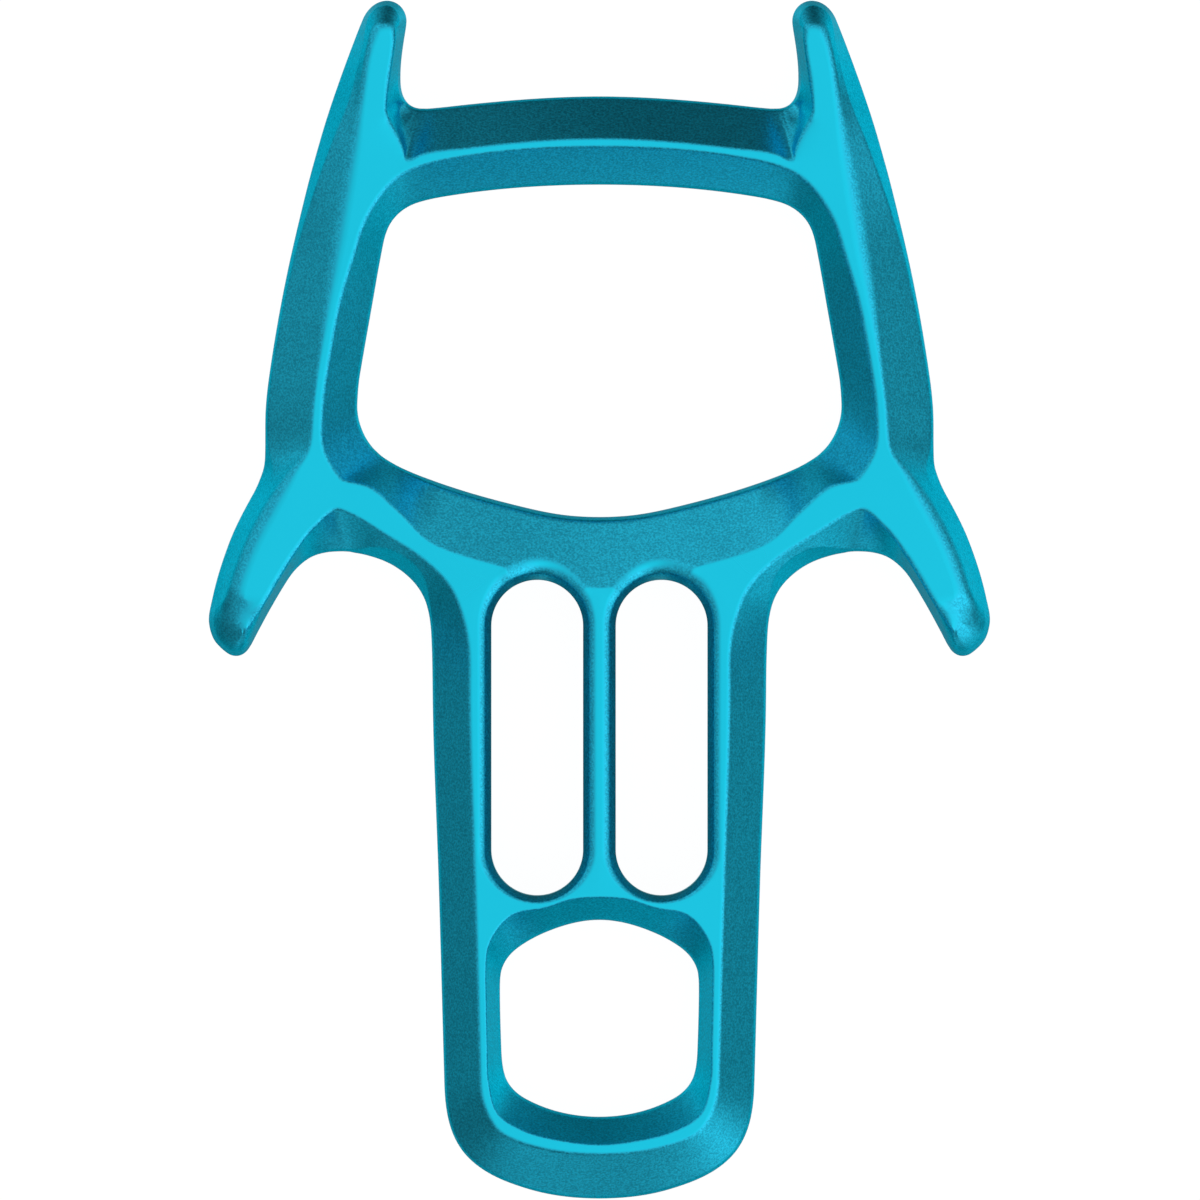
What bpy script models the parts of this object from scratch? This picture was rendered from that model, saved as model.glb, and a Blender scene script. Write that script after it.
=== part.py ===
"""Figure eight descender with rope horns: one hot-forged, anodised aluminium body.

The plan is drawn in millimetres about the middle of the body's length and width. One quarter is
modelled, left of the centre line and above the parting plane of the forging dies, and mirrored.
"""

from collections import namedtuple
from math import atan2, ceil, cos, pi, radians, sin, tan

import bmesh
import bpy
from mathutils import Vector
from mathutils.geometry import interpolate_bezier

MM = 0.001
HALF_THICKNESS = 7.0

# Rope slots through the stem, and how far their rolled rims reach onto the body
SLOT_RADIUS = 5.97
SLOT_FROM_CENTRE_LINE = 8.09
SLOT_TOP_CENTRE = -3.41
SLOT_LOWER_CENTRE = -32.51
RIM_AT_SIDES = 1.85
RIM_AT_TOP = 3.15
RIM_AT_BOTTOM = 1.1

# Rounding between the steep wall at the parting line and the bevel above it
SHOULDER_ROUNDING = 1.2

# Facets: the longest step along an outline, the largest turn in one step, and the rows across
STEP_LENGTH = 5.0
STEP_TURN = 13.0
SHOULDER_FACETS = 1
CREST_FACETS = 2
RIM_FACETS = 4
RIM_STEP_TURN = 15.0

ANODISED_TEAL = (0.013, 0.571, 0.776, 1.0)

# A point on an outline with the heading on which the outline passes it, in degrees from +X
Knot = namedtuple("Knot", "x y heading")

# A section from the parting line up to the flat crest: the plan run and the rise of the steep
# wall, and the radius between the bevel and the crest. A valley may hollow the bevel, this deep
# below its straight line and this share of the way along it.
Section = namedtuple("Section", "run rise rounding depth along", defaults=(0.0, 0.5))

LAND = Section(0.3, 1.0, 0.8)
ROPE_BAR_LIP = Section(0.45, 2.6, 0.8)
EYE_WALL = Section(0.3, 1.0, 0.35)
HORN_TIP = Section(0.65, 3.6, 1.8)
HORN_END = Section(1.3, 5.0, 1.6)
HORN_SIDE = Section(1.5, 4.3, 0.9)
HORN_MIDDLE = Section(1.4, 2.9, 0.8)
HORN_FOOT = Section(0.9, 1.7, 0.8)
HORN_ROOT = Section(0.4, 3.0, 0.8)
VALLEY_TOP = Section(0.3, 1.0, 1.2, 0.0, 0.85)
VALLEY_HIGH = Section(0.3, 1.0, 1.0, 0.9, 0.82)
VALLEY_MIDDLE = Section(0.3, 1.0, 0.8, 1.8, 0.78)
VALLEY_LOW = Section(0.3, 1.0, 0.8, 2.2, 0.57)
VALLEY_FOOT = Section(0.3, 1.0, 0.8, 1.2, 0.25)
HORN_INSIDE = Section(0.3, 2.0, 0.8)
FINGER_ROOT = Section(1.5, 3.4, 1.8)
FINGER_SIDE = Section(0.95, 2.8, 3.3)
FINGER_CORNER = Section(0.6, 2.2, 4.2)
FINGER_TIP = Section(0.4, 1.5, 5.0)
FINGER_TURN = Section(0.4, 2.0, 2.5)
FINGER_INSIDE = Section(0.3, 2.0, 0.8)
ARCH_WALL = Section(1.75, 5.4, 0.8)

# Each stretch below lists the parting line, the edge of the crest beside it, and the section.
# All run from the top of the body, down its left side, to the bottom.
TOP_BAR_OUTSIDE = [
    (Knot(0.0, 65.41, 180), Knot(0.0, 59.8, 180), LAND),
    (Knot(-17.5, 64.32, 186), Knot(-16.9, 58.6, 187), LAND),
    (Knot(-21.0, 63.94, 185), Knot(-23.0, 57.75, 197), LAND),
]
UPPER_HORN = [
    (Knot(-22.7, 63.83, 178), Knot(-24.9, 57.05, 172), VALLEY_TOP),
    (Knot(-23.6, 63.88, 168), Knot(-25.4, 58.4, 106), VALLEY_HIGH),
    (Knot(-24.05, 64.0, 161), Knot(-25.9, 59.8, 115), VALLEY_MIDDLE),
    (Knot(-24.55, 64.25, 148), Knot(-26.7, 61.3, 120), VALLEY_LOW),
    (Knot(-25.2, 64.9, 125), Knot(-27.5, 62.85, 114), VALLEY_FOOT),
    (Knot(-25.72, 66.17, 103), Knot(-27.7, 64.4, 86), HORN_ROOT),
    (Knot(-25.86, 67.65, 91), Knot(-27.3, 67.3, 82), HORN_INSIDE),
    (Knot(-25.35, 73.1, 81), Knot(-26.55, 72.4, 84), HORN_INSIDE),
    (Knot(-25.08, 75.0, 86), Knot(-26.6, 73.9, 100), HORN_END),
    (Knot(-27.6, 77.86, 180), Knot(-27.85, 74.6, 180), HORN_TIP),
    (Knot(-30.75, 75.45, 247), Knot(-29.1, 73.9, 238), HORN_TIP),
    (Knot(-31.9, 72.55, 249), Knot(-29.75, 71.9, 255), HORN_END),
    (Knot(-34.49, 65.42, 251), Knot(-30.9, 64.2, 262), HORN_SIDE),
    (Knot(-36.3, 59.7, 254), Knot(-31.6, 58.4, 260), HORN_MIDDLE),
    (Knot(-38.1, 53.1, 256), Knot(-32.7, 51.9, 260), HORN_FOOT),
]
ARM_OUTSIDE = [
    (Knot(-39.76, 46.17, 257), Knot(-33.85, 44.8, 259), LAND),
    (Knot(-42.72, 30.48, 261.5), Knot(-36.55, 30.0, 261.5), LAND),
    (Knot(-43.43, 23.5, 269), Knot(-37.3, 23.0, 267), LAND),
    (Knot(-43.45, 19.4, 269), Knot(-37.75, 19.6, 252), LAND),
]
LOWER_HORN = [
    (Knot(-43.75, 16.7, 252), Knot(-40.2, 16.2, 236), FINGER_ROOT),
    (Knot(-45.0, 13.75, 241), Knot(-42.75, 12.6, 240), FINGER_SIDE),
    (Knot(-48.05, 7.58, 249), Knot(-45.85, 6.7, 247), FINGER_SIDE),
    (Knot(-50.3, 0.2, 258), Knot(-48.0, 0.2, 259), FINGER_SIDE),
    (Knot(-50.72, -3.3, 280), Knot(-48.75, -2.6, 275), FINGER_CORNER),
    (Knot(-49.75, -5.7, 311), Knot(-48.5, -4.5, 312), FINGER_TIP),
    (Knot(-48.3, -7.0, 326), Knot(-47.6, -5.6, 334), FINGER_TIP),
    (Knot(-46.9, -7.3, 370), Knot(-46.62, -5.83, 372), FINGER_CORNER),
    (Knot(-45.6, -6.4, 414), Knot(-45.68, -5.2, 412), FINGER_TURN),
    (Knot(-44.5, -4.4, 422), Knot(-45.15, -3.4, 421), FINGER_INSIDE),
    (Knot(-42.4, -0.55, 420), Knot(-43.15, -0.05, 419), FINGER_INSIDE),
    (Knot(-40.4, 2.75, 417), Knot(-41.2, 3.3, 418), FINGER_INSIDE),
]
ARCH = [
    (Knot(-38.9, 4.5, 402), Knot(-39.8, 5.6, 416), LAND),
    (Knot(-37.2, 5.65, 384), Knot(-38.1, 8.2, 414), LAND),
    (Knot(-35.5, 6.13, 370), Knot(-36.3, 10.2, 408), LAND),
    (Knot(-33.6, 6.27, 361), Knot(-34.7, 11.6, 390), LAND),
    (Knot(-32.7, 6.24, 357), Knot(-33.6, 11.7, 340), LAND),
    (Knot(-31.57, 6.04, 352), Knot(-31.5, 10.75, 331), LAND),
    (Knot(-28.7, 5.3, 341), Knot(-27.6, 8.3, 328), ARCH_WALL),
    (Knot(-24.49, 2.66, 315), Knot(-22.4, 4.8, 319), ARCH_WALL),
    (Knot(-22.45, -0.7, 287), Knot(-18.7, 0.3, 293), LAND),
    (Knot(-21.77, -6.64, 272), Knot(-17.05, -5.6, 277), LAND),
]
STEM_OUTSIDE = [
    (Knot(-21.68, -12.0, 270.5), Knot(-16.9, -12.0, 270.5), LAND),
    (Knot(-20.9, -36.5, 271.8), Knot(-16.2, -36.5, 271.8), LAND),
    (Knot(-20.15, -63.0, 271.7), Knot(-15.5, -62.5, 271.5), LAND),
]
HEEL_OUTSIDE = [
    (Knot(-18.08, -71.26, 304), Knot(-13.6, -68.3, 305), LAND),
    (Knot(-14.82, -74.29, 328), Knot(-11.5, -69.9, 335), LAND),
    (Knot(-9.31, -76.6, 343), Knot(-7.4, -71.2, 347), LAND),
    (Knot(0.0, -77.86, 360), Knot(0.0, -71.95, 360), LAND),
]
OUTLINE = TOP_BAR_OUTSIDE + UPPER_HORN + ARM_OUTSIDE + LOWER_HORN + ARCH + STEM_OUTSIDE + HEEL_OUTSIDE

ROPE_WINDOW = [
    (Knot(0.0, 53.94, 180), Knot(0.0, 58.8, 180), LAND),
    (Knot(-19.5, 52.5, 189), Knot(-20.2, 57.1, 191), LAND),
    (Knot(-23.63, 51.6, 198), Knot(-24.9, 55.6, 206), LAND),
    (Knot(-27.36, 48.54, 243), Knot(-30.0, 49.9, 241), LAND),
    (Knot(-28.4, 44.7, 259), Knot(-31.7, 45.2, 253), LAND),
    (Knot(-29.45, 38.82, 260), Knot(-33.45, 39.5, 255), LAND),
    (Knot(-31.1, 29.4, 260.5), Knot(-35.3, 29.9, 260), LAND),
    (Knot(-31.47, 25.4, 268), Knot(-35.95, 24.8, 267), LAND),
    (Knot(-30.7, 21.7, 294), Knot(-35.5, 18.6, 295), LAND),
    (Knot(-29.5, 19.8, 310), Knot(-33.8, 15.85, 309), LAND),
    (Knot(-28.7, 19.0, 316), Knot(-33.2, 15.45, 343), LAND),
    (Knot(-26.9, 17.75, 329), Knot(-29.6, 14.5, 330), LAND),
    (Knot(-24.24, 16.47, 337), Knot(-26.3, 11.6, 318), LAND),
    (Knot(-21.3, 15.35, 340), Knot(-23.1, 8.25, 318), ROPE_BAR_LIP),
    (Knot(-18.61, 14.44, 342), Knot(-20.6, 6.7, 337), ROPE_BAR_LIP),
    (Knot(-10.93, 12.29, 346), Knot(-12.0, 4.05, 343), ROPE_BAR_LIP),
    (Knot(-5.08, 11.07, 352), Knot(-5.4, 2.3, 348), ROPE_BAR_LIP),
    (Knot(0.0, 10.74, 360), Knot(0.0, 1.5, 360), ROPE_BAR_LIP),
]

EYE = [
    (Knot(0.0, -41.64, 180), Knot(0.0, -38.65, 180), EYE_WALL),
    (Knot(-5.0, -42.5, 198), Knot(-5.6, -39.5, 203), EYE_WALL),
    (Knot(-7.75, -43.58, 205), Knot(-9.4, -40.35, 185), EYE_WALL),
    (Knot(-9.93, -44.79, 213), Knot(-12.1, -41.4, 221), EYE_WALL),
    (Knot(-11.81, -46.41, 232), Knot(-14.2, -44.35, 246), EYE_WALL),
    (Knot(-12.82, -48.6, 261), Knot(-14.75, -48.3, 268), EYE_WALL),
    (Knot(-12.93, -50.6, 270), Knot(-14.7, -50.6, 270.5), EYE_WALL),
    (Knot(-12.75, -58.4, 272), Knot(-14.55, -58.4, 271), EYE_WALL),
    (Knot(-12.3, -61.8, 287), Knot(-14.4, -62.6, 280), EYE_WALL),
    (Knot(-10.61, -64.2, 321), Knot(-12.9, -67.1, 314), EYE_WALL),
    (Knot(-8.47, -65.44, 335), Knot(-10.1, -68.85, 335), EYE_WALL),
    (Knot(-3.71, -66.91, 350), Knot(-4.3, -70.35, 350), EYE_WALL),
    (Knot(0.0, -67.23, 360), Knot(0.0, -70.75, 360), EYE_WALL),
]


def clear_scene():
    for item in list(bpy.data.objects):
        bpy.data.objects.remove(item, do_unlink=True)


def bearing(heading):
    return Vector((cos(radians(heading)), sin(radians(heading)), 0.0))


def curve_between(start, end, steps):
    """Points from one knot to the next, on a curve that keeps both headings."""
    first = Vector((start.x, start.y, 0.0))
    last = Vector((end.x, end.y, 0.0))
    turn = radians(end.heading - start.heading)
    reach = (last - first).length / (3 * cos(turn / 4) ** 2)
    leave = first + bearing(start.heading) * reach
    meet = last - bearing(end.heading) * reach
    return interpolate_bezier(first, leave, meet, last, steps + 1)


def steps_between(start, end):
    length = Vector((end.x - start.x, end.y - start.y)).length
    return max(1, ceil(length / STEP_LENGTH), ceil(abs(end.heading - start.heading) / STEP_TURN))


def rounded_corner(before, corner, after, reach, facets):
    """Points of a rounding that leaves one leg and meets the other at the same reach."""
    start = corner + (before - corner).normalized() * reach
    end = corner + (after - corner).normalized() * reach
    points = []
    for index in range(facets + 1):
        t = index / facets
        points.append(start.lerp(corner, t).lerp(corner.lerp(end, t), t))
    return points


def section_points(width, section):
    """The section from the parting line to the flat of the crest, as plan distance and height."""
    foot = Vector((0.0, 0.0))
    shoulder = Vector((section.run, section.rise))
    edge = Vector((width, HALF_THICKNESS))
    flat = edge + Vector((1.0, 0.0))
    wall = shoulder - foot
    bevel = edge - shoulder
    edge_reach = min(section.rounding * tan(bevel.angle(flat - edge) / 2), 0.65 * bevel.length)
    along = min(section.along, 0.95 - edge_reach / bevel.length)
    valley = shoulder + bevel * along - Vector((0.0, section.depth))
    turn = wall.angle(valley - shoulder)
    shoulder_reach = min(SHOULDER_ROUNDING * tan(turn / 2), 0.4 * wall.length, 0.3 * (valley - shoulder).length)
    return (
        [foot]
        + rounded_corner(foot, shoulder, valley, shoulder_reach, SHOULDER_FACETS)
        + [valley]
        + rounded_corner(valley, edge, flat, edge_reach, CREST_FACETS)
    )


def blend(first, second, t):
    return Section(*(a + (b - a) * t for a, b in zip(first, second)))


def side_stations(knots):
    """One row of points up the side of the body at each step along an outline."""
    stations = []
    for (foot_a, edge_a, section_a), (foot_b, edge_b, section_b) in zip(knots, knots[1:]):
        steps = max(steps_between(foot_a, foot_b), steps_between(edge_a, edge_b))
        feet = curve_between(foot_a, foot_b, steps)
        edges = curve_between(edge_a, edge_b, steps)
        for index in range(0 if not stations else 1, steps + 1):
            foot, edge = feet[index], edges[index]
            inward = (edge - foot).normalized()
            section = blend(section_a, section_b, index / steps)
            row = section_points((edge - foot).length, section)
            stations.append([foot + inward * d + Vector((0.0, 0.0, z)) for d, z in row])
    return stations


def add_side(bm, knots):
    """The wall, bevel and rounded edge along one outline. Returns its vertices on the crest."""
    rows = [[bm.verts.new(point * MM) for point in station] for station in side_stations(knots)]
    for low, high in zip(rows, rows[1:]):
        for a, b, c, d in zip(low, low[1:], high[1:], high):
            bm.faces.new((a, b, c, d))
    return [row[-1] for row in rows]


def close_below(bm):
    """Close the quarter with a skirt down to a flat floor, so that it can be cut as a solid."""
    rim = [edge for edge in bm.edges if edge.is_boundary]
    skirt = bmesh.ops.extrude_edge_only(bm, edges=rim)["geom"]
    floor = [item for item in skirt if isinstance(item, bmesh.types.BMVert)]
    for vert in floor:
        vert.co.z = -MM
    floor_edges = [e for e in bm.edges if e.is_boundary]
    bmesh.ops.contextual_create(bm, geom=floor_edges)
    bmesh.ops.remove_doubles(bm, verts=bm.verts, dist=MM * 1e-4)
    bmesh.ops.recalc_face_normals(bm, faces=bm.faces)


def quarter_blank():
    """The quarter before its rope slot is pierced, closed below."""
    bm = bmesh.new()
    outside = add_side(bm, OUTLINE)
    window = add_side(bm, ROPE_WINDOW)
    eye = add_side(bm, EYE)
    crest = bm.faces.new(outside + eye[::-1] + window[::-1])
    crest.normal_update()
    bmesh.ops.triangulate(bm, faces=[crest])
    close_below(bm)
    return bm


def slot_cutter():
    """A prism as wide as the slot with its rims, its ends half ellipses."""
    bm = bmesh.new()
    count = ceil(180 / RIM_STEP_TURN)
    half_width = SLOT_RADIUS + RIM_AT_SIDES
    outline = []
    for centre, reach, first in (
        (SLOT_TOP_CENTRE, SLOT_RADIUS + RIM_AT_TOP, 0.0),
        (SLOT_LOWER_CENTRE, SLOT_RADIUS + RIM_AT_BOTTOM, pi),
    ):
        for index in range(count + 1):
            angle = first + pi * index / count
            x = -SLOT_FROM_CENTRE_LINE + half_width * cos(angle)
            outline.append(bm.verts.new(Vector((x, centre + reach * sin(angle), -2.0)) * MM))
    base = bm.faces.new(outline)
    top = bmesh.ops.extrude_face_region(bm, geom=[base])["geom"]
    lift = Vector((0.0, 0.0, HALF_THICKNESS + 4.0)) * MM
    bmesh.ops.translate(bm, verts=[v for v in top if isinstance(v, bmesh.types.BMVert)], vec=lift)
    bmesh.ops.recalc_face_normals(bm, faces=bm.faces)
    return bm


def new_object(name, bm):
    mesh = bpy.data.meshes.new(name)
    bm.to_mesh(mesh)
    bm.free()
    item = bpy.data.objects.new(name, mesh)
    bpy.context.scene.collection.objects.link(item)
    return item


def pierced_quarter():
    """The quarter with its slot cut out, open at the parting plane and the centre line."""
    blank = new_object("quarter_blank", quarter_blank())
    cutter = new_object("slot_cutter", slot_cutter())
    cut = blank.modifiers.new("slot", "BOOLEAN")
    cut.object = cutter
    evaluated = blank.evaluated_get(bpy.context.evaluated_depsgraph_get())
    bm = bmesh.new()
    bm.from_mesh(evaluated.to_mesh())
    bpy.data.objects.remove(blank)
    bpy.data.objects.remove(cutter)
    below = [vert for vert in bm.verts if vert.co.z < -0.5 * MM]
    bmesh.ops.delete(bm, geom=below, context="VERTS")
    bmesh.ops.remove_doubles(bm, verts=bm.verts, dist=0.01 * MM)
    bmesh.ops.dissolve_degenerate(bm, edges=bm.edges, dist=0.01 * MM)
    return bm


def roll_rim(bm):
    """Roll the cut edge of the slot over, in a round that starts flush with the surface around
    it and ends in the slot's upright wall, which runs down to the parting plane."""
    clear = 0.02 * MM
    rim = [
        e for e in bm.edges
        if e.is_boundary and all(v.co.z > clear and v.co.x < -clear for v in e.verts)
    ]
    rolls = {vert: RimRoll(vert) for edge in rim for vert in edge.verts}
    for facet in range(1, RIM_FACETS + 2):
        grown = bmesh.ops.extrude_edge_only(bm, edges=rim)["geom"]
        verts = [item for item in grown if isinstance(item, bmesh.types.BMVert)]
        rim = [item for item in grown if isinstance(item, bmesh.types.BMEdge)]
        moved = {}
        for vert in verts:
            source = min(rolls, key=lambda old: (old.co - vert.co).length)
            moved[vert] = rolls[source]
        for vert, roll in moved.items():
            vert.co = roll.point(facet)
        rolls = moved


class RimRoll:
    """The round from one point of the cut edge to the slot's wall."""

    def __init__(self, vert):
        point = vert.co / MM
        middle = min(max(point.y, SLOT_LOWER_CENTRE), SLOT_TOP_CENTRE)
        self.axis = Vector((-SLOT_FROM_CENTRE_LINE, middle, 0.0))
        out = Vector((point.x, point.y, 0.0)) - self.axis
        self.out = out.normalized()
        normal = sum((face.normal for face in vert.link_faces), Vector()).normalized()
        self.fall = atan2(normal.dot(self.out), normal.z)
        self.radius = (out.length - SLOT_RADIUS) / (1 + sin(self.fall))
        self.centre_height = point.z - self.radius * cos(self.fall)

    def point(self, facet):
        if facet > RIM_FACETS:
            return (self.axis + self.out * SLOT_RADIUS) * MM
        angle = self.fall - (self.fall + pi / 2) * facet / RIM_FACETS
        reach = SLOT_RADIUS + self.radius * (1 + sin(angle))
        height = self.centre_height + self.radius * cos(angle)
        return (self.axis + self.out * reach + Vector((0.0, 0.0, height))) * MM


def anodised_material():
    material = bpy.data.materials.new("anodised_aluminium")
    material.use_nodes = True
    shader = material.node_tree.nodes["Principled BSDF"]
    shader.inputs["Base Color"].default_value = ANODISED_TEAL
    shader.inputs["Metallic"].default_value = 1.0
    shader.inputs["Roughness"].default_value = 0.4
    return material


def forged_body():
    bm = pierced_quarter()
    roll_rim(bm)
    bmesh.ops.recalc_face_normals(bm, faces=bm.faces)
    body = new_object("forged_body", bm)
    body.location.z = HALF_THICKNESS * MM
    mirror = body.modifiers.new("other_quarters", "MIRROR")
    mirror.use_axis = (True, False, True)
    mirror.merge_threshold = 0.00001
    body.data.materials.append(anodised_material())
    body.data.shade_smooth()
    body.data.set_sharp_from_angle(angle=radians(35))
    return body


clear_scene()
forged_body()
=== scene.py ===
"""Figure eight descender with rope horns, lying flat on a white floor and seen from above."""

from collections import namedtuple
from math import acos, atan2, ceil, cos, hypot, pi, radians, sin, tan

import bmesh
import bpy
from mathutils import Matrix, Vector
from mathutils.geometry import interpolate_bezier


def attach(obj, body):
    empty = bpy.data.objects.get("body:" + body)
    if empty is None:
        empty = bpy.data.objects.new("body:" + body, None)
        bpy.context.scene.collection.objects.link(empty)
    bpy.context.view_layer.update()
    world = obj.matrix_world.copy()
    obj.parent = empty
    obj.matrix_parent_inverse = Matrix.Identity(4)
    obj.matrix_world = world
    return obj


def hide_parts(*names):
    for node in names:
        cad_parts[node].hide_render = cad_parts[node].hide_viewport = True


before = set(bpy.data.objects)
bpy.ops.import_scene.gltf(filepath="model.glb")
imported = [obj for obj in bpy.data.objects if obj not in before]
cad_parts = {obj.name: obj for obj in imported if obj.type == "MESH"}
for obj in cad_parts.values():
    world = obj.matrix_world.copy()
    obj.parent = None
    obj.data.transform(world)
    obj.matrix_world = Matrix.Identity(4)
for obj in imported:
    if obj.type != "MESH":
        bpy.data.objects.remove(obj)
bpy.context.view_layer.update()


# Forged body
# One hot-forged bar of aluminium alloy. The dies part at half its thickness; from there each side
# rises as a steep wall and a bevel to a flat crest, which ties the openings together.

MM = 0.001
HALF_THICKNESS = 7.0

# Rope slots through the stem, and how far their rolled rims reach onto the body. A rim ends in a
# chamfer of this width and tilt, and its fall is evened out with that of the rim this near.
SLOT_RADIUS = 5.97
SLOT_FROM_CENTRE_LINE = 8.09
SLOT_TOP_CENTRE = -3.41
SLOT_LOWER_CENTRE = -32.51
RIM_AT_SIDES = 1.85
RIM_AT_TOP = 3.0
RIM_AT_BOTTOM = 1.1
RIM_CHAMFER = 0.7
RIM_CHAMFER_TILT = radians(57)
RIM_EVENING_REACH = 1.6

# Where rows crowd together, the tip of the lower horn and the root of the upper one, the surface is
# evened out above this height: each place, its reach and how many passes it takes. The passes are
# shared out over rings of these sizes, as shares of the reach, and each moves a point this share of
# the way to the middle of its neighbours.
Crowding = namedtuple("Crowding", "x y reach passes")
LOWER_HORN_TIP = Crowding(-47.4, -3.8, 3.5, 100)
UPPER_HORN_ROOT = Crowding(-25.8, 60.2, 2.6, 16)
EVENED_ABOVE = 2.5
EVENED_RINGS = (1.2, 1.1, 1.05, 1.0)
EVENED_BY = 0.5

# Radii at the parting line and at the shoulder, and how far each row runs on over the flat crest
PARTING_ROUNDING = 0.25
SHOULDER_ROUNDING = 1.2
FLAT_MARGIN = 0.06

# The largest share of a leg that a rounding on it may take, how far up the bevel a valley may lie
# where no rounding takes the top of it, and the margin of each flat kept beside its roundings
CREST_SHARE_OF_BEVEL = 0.65
SHOULDER_SHARE_OF_WALL = 0.4
SHOULDER_SHARE_OF_BEVEL = 0.3
PARTING_SHARE_OF_WALL = 0.3
VALLEY_SHARE_OF_SIDES = 0.45
VALLEY_HIGHEST = 0.95
SHADING_MARGIN = 0.1

# How far apart the rows stand, in length and in degrees of turn, and the facets of each rounding
STEP_LENGTH = 0.9
STEP_TURN = 3.0
RIM_STEP_TURN = 4.0
PARTING_FACETS = 2
SHOULDER_FACETS = 4
VALLEY_FACETS = 4
CREST_FACETS = 6
RIM_FACETS = 14

# Each section is averaged with this many neighbours on either side
SECTION_REACH = 3

# The skirt that closes the quarter while it is cut, how far the cutter runs past the body, the
# distances within which points are joined, and how far off the open sides the slot's rim lies
SKIRT_DEPTH = 1.0
CUTTER_OVERRUN = 2.0
SEAM_MERGE = 1e-4
CUT_MERGE = 0.002
CLEAR_OF_CUTS = 0.02

# How near the slot's radius a point counts as on the slot's wall
BORE_TOLERANCE = 0.01

# A point on an outline with the heading on which the outline passes it, in degrees from +X
Knot = namedtuple("Knot", "x y heading")

# A section from the parting line up to the flat crest: the plan run and the rise of the steep
# wall, and the radius between the bevel and the crest. A valley may hollow the bevel, this deep
# below its straight line and this share of the way along it.
Section = namedtuple("Section", "run rise rounding depth along", defaults=(0.0, 0.5))

LAND = Section(0.3, 1.0, 0.8)
TOP_BAR = Section(0.3, 1.0, 0.6)
ROPE_BAR_LIP = Section(0.45, 2.6, 0.8)
EYE_WALL = Section(0.3, 1.0, 0.35)
HORN_TIP = Section(0.65, 3.6, 1.8)
HORN_END = Section(1.3, 5.0, 1.1)
HORN_SIDE = Section(2.2, 5.2, 1.5)
HORN_MIDDLE = Section(1.6, 4.6, 3.0)
HORN_FOOT = Section(1.0, 3.4, 3.4)
ARM_SWELL = Section(0.5, 1.7, 3.0)
HORN_ROOT = Section(0.4, 3.0, 0.8)
VALLEY_TOP = Section(0.3, 1.0, 1.2, 0.0, 0.85)
VALLEY_HIGH = Section(0.3, 1.0, 1.0, 0.9, 0.82)
VALLEY_MIDDLE = Section(0.3, 1.0, 0.8, 1.8, 0.78)
VALLEY_LOW = Section(0.3, 1.0, 0.8, 2.2, 0.57)
VALLEY_FOOT = Section(0.3, 1.0, 0.8, 1.2, 0.25)
HORN_INSIDE = Section(0.3, 2.0, 0.8)
FINGER_ROOT = Section(1.5, 3.4, 1.8)
FINGER_SIDE = Section(0.95, 2.8, 2.4)
FINGER_CORNER = Section(0.6, 2.2, 4.2)
FINGER_TIP = Section(0.4, 1.5, 5.0)
FINGER_TURN = Section(0.4, 2.0, 2.5)
FINGER_INSIDE = Section(0.3, 2.0, 0.8)
ARCH_WALL = Section(1.75, 5.4, 0.8)

# Each stretch below lists the parting line, the edge of the crest beside it, and the section.
# All run from the top of the body, down its left side, to the bottom.
TOP_BAR_OUTSIDE = [
    (Knot(0.0, 65.41, 180), Knot(0.0, 59.8, 180), TOP_BAR),
    (Knot(-17.5, 64.32, 186), Knot(-16.9, 58.6, 187), TOP_BAR),
    (Knot(-21.0, 63.94, 185), Knot(-23.0, 57.75, 197), LAND),
]
UPPER_HORN = [
    (Knot(-22.7, 63.83, 178), Knot(-24.9, 57.05, 172), VALLEY_TOP),
    (Knot(-23.6, 63.88, 168), Knot(-25.4, 58.4, 106), VALLEY_HIGH),
    (Knot(-24.05, 64.0, 161), Knot(-25.9, 59.8, 115), VALLEY_MIDDLE),
    (Knot(-24.55, 64.25, 148), Knot(-26.7, 61.3, 120), VALLEY_LOW),
    (Knot(-25.2, 64.9, 125), Knot(-27.5, 62.85, 114), VALLEY_FOOT),
    (Knot(-25.72, 66.17, 103), Knot(-27.7, 64.4, 86), HORN_ROOT),
    (Knot(-25.86, 67.65, 91), Knot(-27.3, 67.3, 82), HORN_INSIDE),
    (Knot(-25.35, 73.1, 81), Knot(-26.55, 72.4, 84), HORN_INSIDE),
    (Knot(-25.08, 75.0, 86), Knot(-26.6, 73.9, 100), HORN_END),
    (Knot(-27.6, 77.86, 180), Knot(-27.85, 74.6, 180), HORN_TIP),
    (Knot(-30.75, 75.45, 247), Knot(-29.35, 73.9, 240), HORN_TIP),
    (Knot(-31.9, 72.55, 249), Knot(-30.0, 71.9, 257), HORN_END),
    (Knot(-34.49, 65.42, 251), Knot(-31.1, 64.2, 261), HORN_SIDE),
    (Knot(-36.3, 59.7, 254), Knot(-31.95, 58.4, 259), HORN_MIDDLE),
    (Knot(-38.1, 53.1, 256), Knot(-33.15, 51.9, 259), HORN_FOOT),
]
ARM_OUTSIDE = [
    (Knot(-39.76, 46.17, 257), Knot(-34.4, 44.8, 260.5), ARM_SWELL),
    (Knot(-42.72, 30.48, 261.5), Knot(-36.55, 30.0, 262.5), LAND),
    (Knot(-43.43, 23.5, 269), Knot(-37.3, 23.0, 267), LAND),
    (Knot(-43.45, 19.4, 269), Knot(-37.75, 19.6, 252), LAND),
]
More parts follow.
